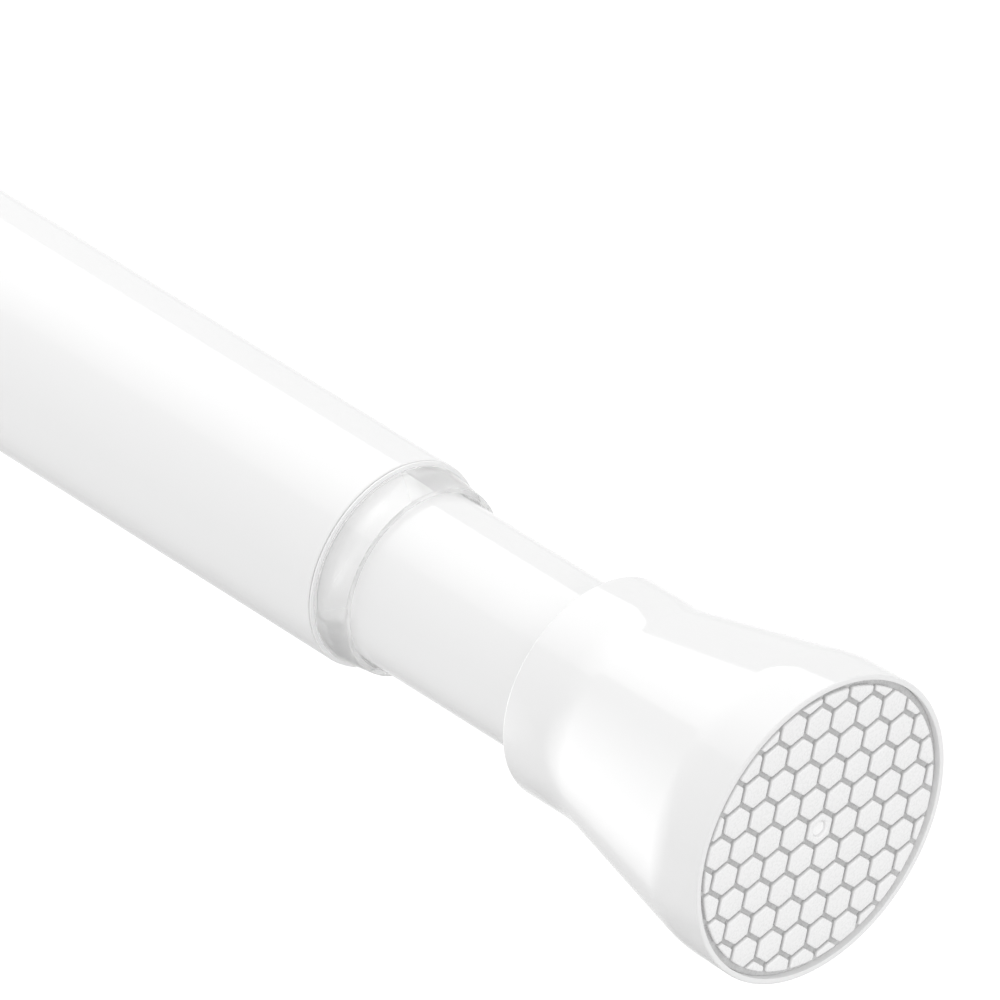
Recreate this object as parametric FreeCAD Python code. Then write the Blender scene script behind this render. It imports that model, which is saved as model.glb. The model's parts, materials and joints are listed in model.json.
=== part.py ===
# Spring tension rod: two telescoping steel tubes with flared end caps and honeycomb wall pads.
#
# The rod lies along X. The origin is the middle of the wall face of the thick tube's cap, and
# +X runs to the cap of the thin tube. +Z is up. All lengths are in millimetres.
#
# How it works: a split sleeve inside the thick tube is spread by a cone. Twisting the thin tube
# turns a hexagon spindle, whose thread draws the cone into the sleeve, so the sleeve grips the
# thick tube. A coil spring on the spindle then pushes the thin tube out against the wall.

import FreeCAD
import Part
import math
import os

from FreeCAD import Vector

# Tubes
OUTER_TUBE_D = 30.0
OUTER_TUBE_WALL = 0.8
OUTER_TUBE_LENGTH = 330.0
INNER_TUBE_D = 25.0
INNER_TUBE_WALL = 0.8
INNER_TUBE_LENGTH = 265.0
TUBE_EDGE = 0.25          # bevel round the thick tube's mouth
BARE_TUBE = 32.5          # thin tube that shows between the collar and its cap

# End caps, one moulding used at both ends
CAP_D = 44.0
CAP_LENGTH = 42.8
CAP_DRUM = 7.6            # straight band behind the rim
CAP_NECK = 9.5            # straight neck round the tube
CAP_NECK_WALL = 0.95
CAP_WALL = 1.8
CAP_DRAFT = 0.1
CAP_RIM_WALL = 0.8
CAP_RIM_EDGE = 0.25
CAP_NECK_EDGE = 0.2
DRUM_BLEND = 15.0
NECK_BLEND = 20.0
TUBE_SEAT = 14.0          # how far the tube's end stands behind the wall face
CAP_WEB = 2.4
CAP_WELL_WALL = 1.4       # round the screw's head
CAP_CAVITY_GAP = 0.6      # width of the hollow at its deepest

# Wall pads
PAD_RECESS = 0.2          # the rim stands this much proud of the cells
PAD_BASE = 2.2
CELL_HEIGHT = 0.8
CELL_PITCH = 4.64         # across the flats, with one groove
CELL_GROOVE = 0.66
CELL_FIELD_R = 20.3
CELL_TURN = 45.0          # degrees from upright, about the rod
CELL_LEAST = 0.8          # square millimetres, smaller slivers at the edge are left off
DIMPLE_R = 1.4
DIMPLE_DEPTH = 0.35

# Clear collar in the mouth of the thick tube
COLLAR_PROUD = 5.3
COLLAR_STEP_R = 0.5       # how much its foot stands inside the thick tube's outside
COLLAR_NOSE_WALL = 1.3
COLLAR_NOSE_EDGE = 0.45
COLLAR_SPIGOT = 18.0
COLLAR_LEAD = 0.6

# Liner between the thin tube and its cap
ADAPTER_SINK = 0.5        # how far it stands inside the neck

# Plugs and screws that hold the caps
PLUG_LENGTH = 18.0
PLUG_WALL = 1.6
PLUG_FACE = 10.0          # thick end that the screw bites into
SCREW_R = 1.9
SCREW_LENGTH = 16.0
SCREW_HEAD_R = 3.8
SCREW_HEAD = 2.4
SCREW_SOCKET = 3.0        # across the flats
SCREW_SOCKET_DEPTH = 1.5

# Guide at the inner end of the thin tube
BUSH_LENGTH = 14.0
BUSH_LIP = 1.2
GUIDE_FLANGE = 2.5
GUIDE_FLANGE_R = 13.0
GUIDE_BODY = 22.0
GUIDE_PIN_R = 1.5
GUIDE_PIN_LENGTH = 4.5
GUIDE_PIN_PLACE = 17.5    # from the tube's inner end

# Spindle, nut and washers
HEX_FLATS = 7.0
THREAD_R = 3.0
JOURNAL_R = 3.4
CLIP_GROOVE_R = 2.6
CLIP = 0.9
CLIP_R = 5.4
CLIP_GAP = 3.0
STUB = 8.0                # thread beyond the hexagon, for the nut
NUT_FLATS = 10.0
NUT = 6.0
NUT_FLANGE = 1.4
NUT_FLANGE_R = 7.0
SPRING_SEAT = 1.0
SPRING_SEAT_R = 11.0

# Spring
SPRING_LENGTH = 56.0
SPRING_R = 8.6            # to the middle of the wire
SPRING_WIRE = 2.0         # square wire
SPRING_TURNS = 5

# Lock: split sleeve, rubber grip ring and cone
LOCK_HEAD = 7.0
FINGER_LENGTH = 18.0
FINGER_WALL = 2.6         # at the mouth of the sleeve
FINGER_SLOTS = 4
FINGER_SLOT = 2.4
CONE_LENGTH = 16.0
CONE_TAPER = 0.125        # radius lost for each millimetre of length
CONE_KEY = 2.0
CONE_KEY_RISE = 1.2
CONE_TRAVEL = 2.0
CONE_END_GAP = 0.5
GRIP_RING = 2.0           # width and height of its section
LOCK_ROOM = 20.0          # least space between the spindle and the thick tube's plug

# Clearances, each on one side
FIT = 0.03                # pressed, glued or screwed together
RUN = 0.08                # slides or turns
LOOSE = 0.3
END_PLAY = 0.12

# Sizes that follow
outer_r = OUTER_TUBE_D / 2
outer_bore = outer_r - OUTER_TUBE_WALL
inner_r = INNER_TUBE_D / 2
inner_bore = inner_r - INNER_TUBE_WALL
cap_r = CAP_D / 2
neck_bore = outer_r + FIT
neck_r = neck_bore + CAP_NECK_WALL
pad_back = PAD_RECESS + CELL_HEIGHT + PAD_BASE
web_front = TUBE_SEAT - CAP_WEB
spindle_bore = HEX_FLATS / math.sqrt(3) + LOOSE

# Places along the rod
# The thin tube shows by BARE_TUBE, or by more where the thick tube is too short to take it in.
mouth = TUBE_SEAT + OUTER_TUBE_LENGTH
collar_front = mouth + COLLAR_PROUD
lock_length = LOCK_HEAD + 2 * (END_PLAY + CLIP) + CONE_END_GAP + CONE_LENGTH + 2 * CONE_TRAVEL
spring_room = SPRING_LENGTH + 2 * SPRING_SEAT + GUIDE_FLANGE + BUSH_LIP
least_start = TUBE_SEAT + PLUG_LENGTH + LOCK_ROOM + lock_length + spring_room
least_length = least_start + INNER_TUBE_LENGTH + TUBE_SEAT
rod_length = max(collar_front + BARE_TUBE + CAP_LENGTH, least_length)
inner_tube_start = rod_length - TUBE_SEAT - INNER_TUBE_LENGTH
flange_start = inner_tube_start - BUSH_LIP - GUIDE_FLANGE
guide_end = inner_tube_start + GUIDE_BODY
spring_end = flange_start - SPRING_SEAT
spring_start = spring_end - SPRING_LENGTH
hex_start = spring_start - SPRING_SEAT
hex_end = guide_end + END_PLAY
lock_end = hex_start - END_PLAY
finger_root = lock_end - LOCK_HEAD
finger_mouth = finger_root - FINGER_LENGTH
clip_start = finger_root - END_PLAY - CLIP
journal_start = clip_start - CLIP
cone_end = journal_start - CONE_END_GAP - CONE_TRAVEL
cone_start = cone_end - CONE_LENGTH

# Radii of the lock
sleeve_r = outer_bore - LOOSE
finger_bore = sleeve_r - FINGER_WALL


def turned(corners):
    """A solid turned about X from corners (x, radius, rounding), taken in order round the section."""
    points = [Vector(x, 0, r) for x, r, rounding in corners]
    cuts = []
    for i, point in enumerate(points):
        back = points[i - 1] - point
        ahead = points[(i + 1) % len(points)] - point
        rounding = corners[i][2]
        if rounding <= 0:
            cuts.append((point, None, point))
            continue
        half = back.getAngle(ahead) / 2
        reach = rounding / math.tan(half)
        back.normalize()
        ahead.normalize()
        inward = back + ahead
        inward.normalize()
        middle = point + inward * (rounding / math.sin(half) - rounding)
        cuts.append((point + back * reach, middle, point + ahead * reach))
    edges = []
    for i, (start, middle, end) in enumerate(cuts):
        if middle is not None:
            edges.append(Part.Arc(start, middle, end).toShape())
        following = cuts[(i + 1) % len(cuts)][0]
        edges.append(Part.LineSegment(end, following).toShape())
    section = Part.Face(Part.Wire(edges))
    return section.revolve(Vector(0, 0, 0), Vector(1, 0, 0), 360)


def ring(x0, x1, bore, radius):
    """A plain ring, or a disc where its bore is 0."""
    return turned([(x0, bore, 0), (x0, radius, 0), (x1, radius, 0), (x1, bore, 0)])


def hexagon(x0, x1, flats, turn=0.0):
    """A hexagon bar along X, with a corner at the top before it is turned."""
    reach = flats / math.sqrt(3)
    points = []
    for corner in range(7):
        angle = math.radians(turn + 60 * corner)
        points.append(Vector(x0, reach * math.sin(angle), reach * math.cos(angle)))
    return Part.Face(Part.makePolygon(points)).extrude(Vector(x1 - x0, 0, 0))


def blade(x0, x1, width, height, angle):
    """A flat plate that runs outwards from the rod's axis at an angle from +Z."""
    plate = Part.makeBox(x1 - x0, width, height, Vector(x0, -width / 2, 0))
    plate.rotate(Vector(0, 0, 0), Vector(1, 0, 0), angle)
    return plate


def at_far_end(shape):
    """The same piece at the other end of the rod, facing the other wall."""
    moved = shape.copy()
    moved.rotate(Vector(0, 0, 0), Vector(0, 0, 1), 180)
    moved.translate(Vector(rod_length, 0, 0))
    return moved


def cross_pins(radius, low, high):
    """Two round pins across the thin tube, above and below, from one distance to another."""
    x = inner_tube_start + GUIDE_PIN_PLACE
    up = Part.makeCylinder(radius, high - low, Vector(x, 0, low), Vector(0, 0, 1))
    down = Part.makeCylinder(radius, high - low, Vector(x, 0, -low), Vector(0, 0, -1))
    return Part.makeCompound([up, down])


def make_outer_tube():
    edge = min(TUBE_EDGE, OUTER_TUBE_WALL / 2)
    return turned([
        (TUBE_SEAT, outer_bore, 0),
        (TUBE_SEAT, outer_r, 0),
        (mouth - edge, outer_r, 0),
        (mouth, outer_r - edge, 0),
        (mouth, outer_bore, 0),
    ])


def make_inner_tube():
    tube = ring(inner_tube_start, inner_tube_start + INNER_TUBE_LENGTH, inner_bore, inner_r)
    return tube.cut(cross_pins(GUIDE_PIN_R + FIT, inner_bore - 1, inner_r + 1))


def cap_outline():
    """Outside of the cap from its rim back to its neck."""
    cone_foot = CAP_LENGTH - CAP_NECK
    return [
        (0, cap_r - CAP_RIM_WALL, 0),
        (0, cap_r - CAP_RIM_EDGE, 0),
        (CAP_RIM_EDGE, cap_r, 0),
        (CAP_DRUM, cap_r - CAP_DRAFT, DRUM_BLEND),
        (cone_foot, neck_r, NECK_BLEND),
        (CAP_LENGTH - CAP_NECK_EDGE, neck_r, 0),
        (CAP_LENGTH, neck_r - CAP_NECK_EDGE, 0),
    ]


def cap_cavity():
    """Hollow between the flared shell and the sleeve that holds the tube."""
    sleeve_out = neck_bore + CAP_NECK_WALL
    slope = (cap_r - CAP_DRAFT - neck_r) / (CAP_LENGTH - CAP_NECK - CAP_DRUM)
    drum_inside = cap_r - CAP_WALL
    well_out = SCREW_HEAD_R + LOOSE + CAP_WELL_WALL
    depth = CAP_DRUM + (drum_inside - sleeve_out - CAP_CAVITY_GAP) / slope
    return turned([
        (pad_back, well_out, 0),
        (pad_back, drum_inside, 0),
        (CAP_DRUM, drum_inside, 0),
        (depth, sleeve_out + CAP_CAVITY_GAP, 0),
        (depth, sleeve_out, 0),
        (web_front, sleeve_out, 0),
        (web_front, well_out, 0),
    ])


def make_end_cap():
    """Flared cap: shell, tube socket, screw well and the recess for the pad."""
    hole = SCREW_R + LOOSE
    head = SCREW_HEAD_R + LOOSE
    block = turned(cap_outline() + [
        (CAP_LENGTH, neck_bore, 0),
        (TUBE_SEAT, neck_bore, 0),
        (TUBE_SEAT, hole, 0),
        (web_front, hole, 0),
        (web_front, head, 0),
        (pad_back, head, 0),
        (pad_back, cap_r - CAP_RIM_WALL, 0),
    ])
    return block.cut(cap_cavity())


def cell_places():
    """Centres of the honeycomb cells that reach into the round field."""
    column = CELL_PITCH * math.sqrt(3) / 2
    span = int(CELL_FIELD_R / column) + 2
    places = []
    for i in range(-span, span + 1):
        for j in range(-span, span + 1):
            across = i * column
            along = (j + 0.5 * (i % 2)) * CELL_PITCH
            if math.hypot(across, along) < CELL_FIELD_R + CELL_PITCH / 2:
                places.append((across, along))
    return places


def make_wall_pad():
    """Honeycomb pad in the cap's rim: raised six-sided cells on a round base."""
    front = PAD_RECESS
    floor = front + CELL_HEIGHT
    pad = ring(floor, pad_back, 0, cap_r - CAP_RIM_WALL - FIT)
    cell = hexagon(front, floor + PAD_BASE / 2, CELL_PITCH - CELL_GROOVE, 30)
    field = ring(front, floor + PAD_BASE / 2, 0, CELL_FIELD_R)
    cells = []
    for across, along in cell_places():
        piece = cell.copy()
        piece.translate(Vector(0, across, along))
        piece = piece.common(field)
        if piece.Volume > CELL_LEAST * (CELL_HEIGHT + PAD_BASE / 2):
            cells.append(piece)
    pad = pad.fuse(cells).removeSplitter()
    ball_r = (DIMPLE_R ** 2 + DIMPLE_DEPTH ** 2) / (2 * DIMPLE_DEPTH)
    pad = pad.cut(Part.makeSphere(ball_r, Vector(front + DIMPLE_DEPTH - ball_r, 0, 0)))
    pad.rotate(Vector(0, 0, 0), Vector(1, 0, 0), CELL_TURN)
    return pad


def make_mouth_collar():
    """Clear bush: a spigot inside the thick tube, and a nose that stands out of its mouth."""
    bore = inner_r + RUN
    nose_r = bore + COLLAR_NOSE_WALL
    return turned([
        (mouth - COLLAR_SPIGOT, bore, 0),
        (mouth - COLLAR_SPIGOT, outer_bore - FIT, 0),
        (mouth, outer_bore - FIT, 0),
        (mouth, outer_r - COLLAR_STEP_R, 0),
        (collar_front - COLLAR_NOSE_EDGE, nose_r + COLLAR_NOSE_EDGE / 3, 0),
        (collar_front, nose_r - COLLAR_NOSE_EDGE, 0),
        (collar_front, bore + COLLAR_LEAD, 0),
        (collar_front - COLLAR_LEAD, bore, 0),
    ])


def make_tube_plug(bore):
    """Cup-shaped plug in a tube's end, with a thick face that takes the cap's screw."""
    start = TUBE_SEAT
    face = start + PLUG_FACE
    end = start + PLUG_LENGTH
    skirt = bore - FIT
    hole = SCREW_R + FIT
    return turned([
        (start, hole, 0),
        (start, skirt, 0),
        (end, skirt, 0),
        (end, skirt - PLUG_WALL, 0),
        (face, skirt - PLUG_WALL, 0),
        (face, hole, 0),
    ])


def make_cap_screw():
    """Pan head screw, driven through the cap's web into the plug under the pad."""
    seat = web_front
    top = seat - SCREW_HEAD
    tip = seat + SCREW_LENGTH
    screw = turned([
        (top, 0, 0),
        (top, SCREW_HEAD_R, 0),
        (seat, SCREW_HEAD_R, 0),
        (seat, SCREW_R, 0),
        (tip - SCREW_R, SCREW_R, 0),
        (tip, 0, 0),
    ])
    return screw.cut(hexagon(top, top + SCREW_SOCKET_DEPTH, SCREW_SOCKET))


def make_tube_adapter():
    """Liner that fills the cap's socket round the thin tube."""
    neck_end = rod_length - CAP_LENGTH
    return ring(neck_end + ADAPTER_SINK, rod_length - TUBE_SEAT, inner_r + FIT, outer_r)


def make_guide_bush():
    """Bearing ring on the thin tube's inner end, with a lip over the end of the tube."""
    start = inner_tube_start - BUSH_LIP
    return turned([
        (start, inner_bore, 0),
        (start, outer_bore - RUN, 0),
        (start + BUSH_LENGTH, outer_bore - RUN, 0),
        (start + BUSH_LENGTH, inner_r + FIT, 0),
        (inner_tube_start, inner_r + FIT, 0),
        (inner_tube_start, inner_bore, 0),
    ])


def make_guide_pins():
    return cross_pins(GUIDE_PIN_R, inner_r - GUIDE_PIN_LENGTH, inner_r - FIT)


def make_spindle_guide():
    """Plug in the thin tube's inner end: the hexagon slides through it but can't turn in it."""
    guide = turned([
        (flange_start, 0, 0),
        (flange_start, GUIDE_FLANGE_R, 0),
        (flange_start + GUIDE_FLANGE, GUIDE_FLANGE_R, 0),
        (flange_start + GUIDE_FLANGE, inner_bore - FIT, 0),
        (guide_end, inner_bore - FIT, 0),
        (guide_end, 0, 0),
    ])
    guide = guide.cut(hexagon(flange_start - 1, guide_end + 1, HEX_FLATS + 2 * RUN))
    return guide.cut(cross_pins(GUIDE_PIN_R + FIT, inner_r - GUIDE_PIN_LENGTH - FIT, inner_r))


def make_spindle():
    """Hexagon bar with a turned journal and thread at the lock, and a thread for the nut."""
    thread_start = cone_start - CONE_TRAVEL
    lock_stub = turned([
        (thread_start, 0, 0),
        (thread_start, THREAD_R, 0),
        (journal_start, THREAD_R, 0),
        (journal_start, JOURNAL_R, 0),
        (clip_start, JOURNAL_R, 0),
        (clip_start, CLIP_GROOVE_R, 0),
        (clip_start + CLIP, CLIP_GROOVE_R, 0),
        (clip_start + CLIP, JOURNAL_R, 0),
        (hex_start, JOURNAL_R, 0),
        (hex_start, 0, 0),
    ])
    nut_stub = ring(hex_end, hex_end + STUB, 0, THREAD_R)
    return hexagon(hex_start, hex_end, HEX_FLATS).fuse([lock_stub, nut_stub])


def make_retaining_clip():
    """Open clip in the spindle's groove, that keeps the spindle in the sleeve."""
    clip = ring(clip_start + FIT, clip_start + CLIP - FIT, CLIP_GROOVE_R + FIT, CLIP_R)
    return clip.cut(blade(clip_start, clip_start + CLIP, CLIP_GAP, CLIP_R * 2, 180))


def make_stop_nut():
    """Flanged nut on the spindle's end, that stops the spring from pushing the guide off."""
    flange = ring(hex_end, hex_end + NUT_FLANGE, THREAD_R + FIT, NUT_FLANGE_R)
    body = hexagon(hex_end, hex_end + NUT, NUT_FLATS, 15)
    return flange.fuse(body.cut(ring(hex_end, hex_end + NUT, 0, THREAD_R + FIT))).removeSplitter()


def make_spring_seat(x0):
    return ring(x0, x0 + SPRING_SEAT, spindle_bore, SPRING_SEAT_R)


def make_spring():
    """Compression spring of square wire, with both ends ground flat."""
    pitch = (SPRING_LENGTH - SPRING_WIRE) / SPRING_TURNS
    helix = Part.makeLongHelix(pitch, pitch * (SPRING_TURNS + 1), SPRING_R)
    half = SPRING_WIRE / 2
    corners = [(-half, -half), (half, -half), (half, half), (-half, half), (-half, -half)]
    section = Part.makePolygon([Vector(SPRING_R + dr, 0, dz) for dr, dz in corners])
    coil = Part.Wire(helix).makePipeShell([section], True, True)
    coil.rotate(Vector(0, 0, 0), Vector(0, 1, 0), 90)
    coil.translate(Vector(spring_start - pitch / 2 + SPRING_WIRE / 2, 0, 0))
    reach = SPRING_R + SPRING_WIRE
    slab = Part.makeBox(SPRING_LENGTH, 2 * reach, 2 * reach, Vector(spring_start, -reach, -reach))
    return coil.common(slab)


def make_lock_sleeve():
    """Split sleeve that grips the thick tube when the cone spreads its fingers."""
    small_bore = finger_bore - CONE_TAPER * FINGER_LENGTH
    groove_floor = outer_bore - RUN - GRIP_RING - FIT
    groove_middle = finger_root + LOCK_HEAD / 2
    groove_start = groove_middle - GRIP_RING / 2 - FIT
    groove_end = groove_middle + GRIP_RING / 2 + FIT
    sleeve = turned([
        (finger_mouth, finger_bore, 0),
        (finger_mouth, sleeve_r, 0),
        (groove_start, sleeve_r, 0),
        (groove_start, groove_floor, 0),
        (groove_end, groove_floor, 0),
        (groove_end, sleeve_r, 0),
        (lock_end, sleeve_r, 0),
        (lock_end, JOURNAL_R + RUN, 0),
        (finger_root, JOURNAL_R + RUN, 0),
        (finger_root, small_bore, 0),
    ])
    slots = []
    for i in range(FINGER_SLOTS):
        slots.append(blade(finger_mouth, finger_root, FINGER_SLOT, outer_r, 360.0 * i / FINGER_SLOTS))
    return sleeve.cut(Part.makeCompound(slots))


def make_grip_ring():
    """Rubber ring in the sleeve's groove, so that the sleeve drags on the tube."""
    middle = finger_root + LOCK_HEAD / 2
    radius = outer_bore - RUN
    return ring(middle - GRIP_RING / 2, middle + GRIP_RING / 2, radius - GRIP_RING, radius)


def make_lock_cone():
    """Cone with two keys that run in the sleeve's slots, drawn in by the spindle's thread."""
    at_mouth = finger_bore - RUN
    big_r = at_mouth + CONE_TAPER * (finger_mouth - cone_start - CONE_TRAVEL)
    small_r = big_r - CONE_TAPER * CONE_LENGTH
    bore = THREAD_R + RUN
    cone = turned([
        (cone_start, bore, 0),
        (cone_start, big_r, 0),
        (cone_end, small_r, 0),
        (cone_end, bore, 0),
    ])
    keys = []
    for angle in (0, 180):
        key = blade(cone_start, cone_end, CONE_KEY, big_r + CONE_KEY_RISE, angle)
        keys.append(key.cut(ring(cone_start, cone_end, 0, (bore + small_r) / 2)))
    return cone.fuse(keys).removeSplitter()


cap = make_end_cap()
pad = make_wall_pad()
screw = make_cap_screw()

nodes = {
    "outer_tube": make_outer_tube(),
    "outer_end_cap": cap,
    "outer_wall_pad": pad,
    "outer_tube_plug": make_tube_plug(outer_bore),
    "outer_cap_screw": screw,
    "mouth_collar": make_mouth_collar(),
    "inner_tube": make_inner_tube(),
    "inner_end_cap": at_far_end(cap),
    "inner_wall_pad": at_far_end(pad),
    "inner_tube_plug": at_far_end(make_tube_plug(inner_bore)),
    "inner_cap_screw": at_far_end(screw),
    "tube_adapter": make_tube_adapter(),
    "guide_bush": make_guide_bush(),
    "spindle_guide": make_spindle_guide(),
    "guide_pins": make_guide_pins(),
    "spindle": make_spindle(),
    "retaining_clip": make_retaining_clip(),
    "stop_nut": make_stop_nut(),
    "lock_spring_seat": make_spring_seat(hex_start),
    "tube_spring_seat": make_spring_seat(spring_end),
    "spring": make_spring(),
    "lock_sleeve": make_lock_sleeve(),
    "grip_ring": make_grip_ring(),
    "lock_cone": make_lock_cone(),
}

os.makedirs("parts", exist_ok=True)
for name, shape in nodes.items():
    shape.exportStep(f"parts/{name}.step")
    box = shape.BoundBox
    print(f"{name}: {len(shape.Solids)} solid, {shape.Volume:.1f} mm3, "
          f"x {box.XMin:.2f} to {box.XMax:.2f}, valid {shape.isValid()}")
print(f"rod length {rod_length:.1f} mm, {len(nodes)} nodes")
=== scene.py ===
# %% [markdown]
# # A spring tension rod
#
# The real object is two painted steel tubes, one sliding in the other, with a flared plastic cap on
# each end and a soft honeycomb pad that presses on the wall. This lesson dresses its CAD model: the
# pieces that show are modelled again with round edges, and every piece gets a real finish.
#
# The frame is loaded first, because every new piece sits where the CAD model says. It could also be
# modelled from nothing and fitted later, but then its joints and the new shapes would not agree.

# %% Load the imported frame
import json
import math

import bpy
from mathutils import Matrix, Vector


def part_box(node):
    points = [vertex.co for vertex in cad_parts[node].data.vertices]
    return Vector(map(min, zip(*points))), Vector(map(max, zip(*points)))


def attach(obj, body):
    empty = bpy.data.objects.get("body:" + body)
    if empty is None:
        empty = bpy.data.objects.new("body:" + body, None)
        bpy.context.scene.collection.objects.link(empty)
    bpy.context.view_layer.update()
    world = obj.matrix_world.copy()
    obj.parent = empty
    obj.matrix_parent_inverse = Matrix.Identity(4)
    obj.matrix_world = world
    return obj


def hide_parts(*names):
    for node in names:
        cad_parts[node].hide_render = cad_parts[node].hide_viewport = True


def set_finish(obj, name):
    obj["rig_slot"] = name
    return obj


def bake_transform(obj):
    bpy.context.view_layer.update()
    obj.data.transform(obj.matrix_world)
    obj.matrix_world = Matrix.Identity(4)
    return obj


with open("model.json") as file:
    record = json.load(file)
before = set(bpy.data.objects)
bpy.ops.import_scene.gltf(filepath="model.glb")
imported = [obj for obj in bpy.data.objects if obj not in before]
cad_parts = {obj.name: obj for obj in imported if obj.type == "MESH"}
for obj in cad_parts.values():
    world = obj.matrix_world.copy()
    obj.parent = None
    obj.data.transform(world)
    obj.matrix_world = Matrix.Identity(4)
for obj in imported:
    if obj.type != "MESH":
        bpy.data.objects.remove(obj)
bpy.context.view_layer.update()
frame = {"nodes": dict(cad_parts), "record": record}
MM = 0.001

# %% [markdown]
# ## Sizes
#
# The rod lies along X, so a node's box gives its two ends and its radius. Only what a box can't
# show, such as a wall or a rounding, is written here, in millimetres. All sizes of the rod stay in
# millimetres until the moment that Blender gets them. Only the floor and the lamps are in metres.

# %% Read the main sizes from the frame


def ends_and_radius(node):
    """The two ends along the rod and the outer radius of a CAD node, in mm."""
    low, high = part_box(node)
    return low.x / MM, high.x / MM, high.z / MM


tube_start, mouth, outer_r = ends_and_radius("outer_tube")
inner_start, inner_end, inner_r = ends_and_radius("inner_tube")
collar_start, collar_front = ends_and_radius("mouth_collar")[:2]
wall_x, cap_back, cap_r = ends_and_radius("outer_end_cap")
pad_front, pad_back, pad_r = ends_and_radius("outer_wall_pad")
spring_start, spring_end, spring_r = ends_and_radius("spring")
rod_length = ends_and_radius("inner_end_cap")[1]

TUBE_WALL = 0.8
outer_bore = outer_r - TUBE_WALL
inner_bore = inner_r - TUBE_WALL
print(f"thick tube {2 * outer_r:.1f} mm, thin tube {2 * inner_r:.1f} mm, rod {rod_length:.1f} mm")

# %% [markdown]
# ## Helpers for modelling as by hand
#
# An operator works on whatever is selected, and the loaded nodes start out selected. So each step
# deselects everything first, and then picks its points by their place.

# %% Select, place and settle


def deselect_all():
    bpy.ops.object.select_all(action="DESELECT")


def make_active(piece):
    deselect_all()
    piece.select_set(True)
    bpy.context.view_layer.objects.active = piece


def start_edit(piece):
    make_active(piece)
    bpy.ops.object.mode_set(mode="EDIT")


def end_edit():
    bpy.ops.object.mode_set(mode="OBJECT")


def pick_points(piece, wanted):
    """Selects the points whose place in mm passes the test, while the piece is in edit mode."""
    bpy.ops.mesh.select_mode(type="VERT")
    bpy.ops.mesh.select_all(action="DESELECT")
    end_edit()
    for point in piece.data.vertices:
        point.select = wanted(point.co / MM)
    bpy.ops.object.mode_set(mode="EDIT")


def finish_modifier(piece, kind, **settings):
    """Adds one modifier with its settings and applies it."""
    make_active(piece)
    modifier = piece.modifiers.new(kind.title(), kind)
    for key, value in settings.items():
        setattr(modifier, key, value)
    bpy.ops.object.modifier_apply(modifier=modifier.name)


def join_into(target, others):
    make_active(target)
    for other in others:
        other.select_set(True)
    bpy.ops.object.join()


SMOOTH_BELOW = 30        # degrees between two faces
DOUBLES_WITHIN = 0.0005


def smooth(piece):
    make_active(piece)
    bpy.ops.object.shade_smooth_by_angle(angle=math.radians(SMOOTH_BELOW))


def close_seams(piece):
    """Merges the doubles, turns the normals outward and shades the round faces smooth."""
    start_edit(piece)
    bpy.ops.mesh.select_all(action="SELECT")
    bpy.ops.mesh.remove_doubles(threshold=DOUBLES_WITHIN * MM)
    bpy.ops.mesh.normals_make_consistent(inside=False)
    end_edit()
    smooth(piece)


def settle(piece, body, slot, *nodes):
    """The finished piece rides on its body, names its finish and stands for its CAD nodes."""
    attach(piece, body)
    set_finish(piece, slot)
    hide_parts(*nodes)
    low, high = piece.bound_box[0], piece.bound_box[6]
    size = [round((b - a) / MM, 2) for a, b in zip(low, high)]
    print(f"{piece.name}: {len(piece.data.polygons)} faces, {size} mm")


print(f"faces that meet at less than {SMOOTH_BELOW} degrees are shaded as one")

# %% [markdown]
# ## Turned pieces
#
# Tubes, caps and the clear collar are round about the rod's axis. A ring primitive for each one
# could be extruded again and again, but a section that is spun once is easier to read: one point
# is extruded from corner to corner, the corners are rounded with a vertex bevel, and the section
# is spun a full turn. The doubles at the seam are merged before the normals are set right.

# %% Spin a section round the rod's axis
TURN_STEPS = 144
ROUNDING_STEPS = 5
SAME_PLACE = 0.001       # points nearer than this are the same corner


def reach_of(corners, i):
    """How far the rounding of corner i runs along the two sides that meet there, in mm."""
    here = Vector(corners[i][:2])
    back = Vector(corners[i - 1][:2]) - here
    ahead = Vector(corners[(i + 1) % len(corners)][:2]) - here
    return corners[i][2] / math.tan(back.angle(ahead) / 2)


def turned(name, corners, steps=TURN_STEPS):
    """A solid of revolution from closed corners (x, radius, rounding) in mm."""
    deselect_all()
    bpy.ops.mesh.primitive_plane_add(size=MM, location=(0, 0, 0))
    piece = bpy.context.object
    piece.name = name
    start_edit(piece)
    bpy.ops.mesh.select_all(action="SELECT")
    bpy.ops.mesh.merge(type="CENTER")
    x, radius = 0.0, 0.0
    for i, corner in enumerate(corners):
        step = ((corner[0] - x) * MM, 0, (corner[1] - radius) * MM)
        if i == 0:
            bpy.ops.transform.translate(value=step)
        else:
            bpy.ops.mesh.extrude_region_move(TRANSFORM_OT_translate={"value": step})
        x, radius = corner[:2]
    first = Vector((corners[0][0], 0, corners[0][1]))
    last = Vector((x, 0, radius))
    pick_points(piece, lambda p: min((p - first).length, (p - last).length) < SAME_PLACE)
    bpy.ops.mesh.edge_face_add()
    for i, (x, radius, rounding) in enumerate(corners):
        if rounding > 0:
            corner = Vector((x, 0, radius))
            pick_points(piece, lambda p: (p - corner).length < SAME_PLACE)
            bpy.ops.mesh.bevel(offset=reach_of(corners, i) * MM, segments=ROUNDING_STEPS,
                               affect="VERTICES", offset_type="OFFSET", profile=0.5)
    bpy.ops.mesh.select_all(action="SELECT")
    bpy.ops.mesh.spin(steps=steps, angle=math.tau, center=(0, 0, 0), axis=(1, 0, 0))
    end_edit()
    close_seams(piece)
    return piece


print("sections are spun in", TURN_STEPS, "steps")

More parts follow.
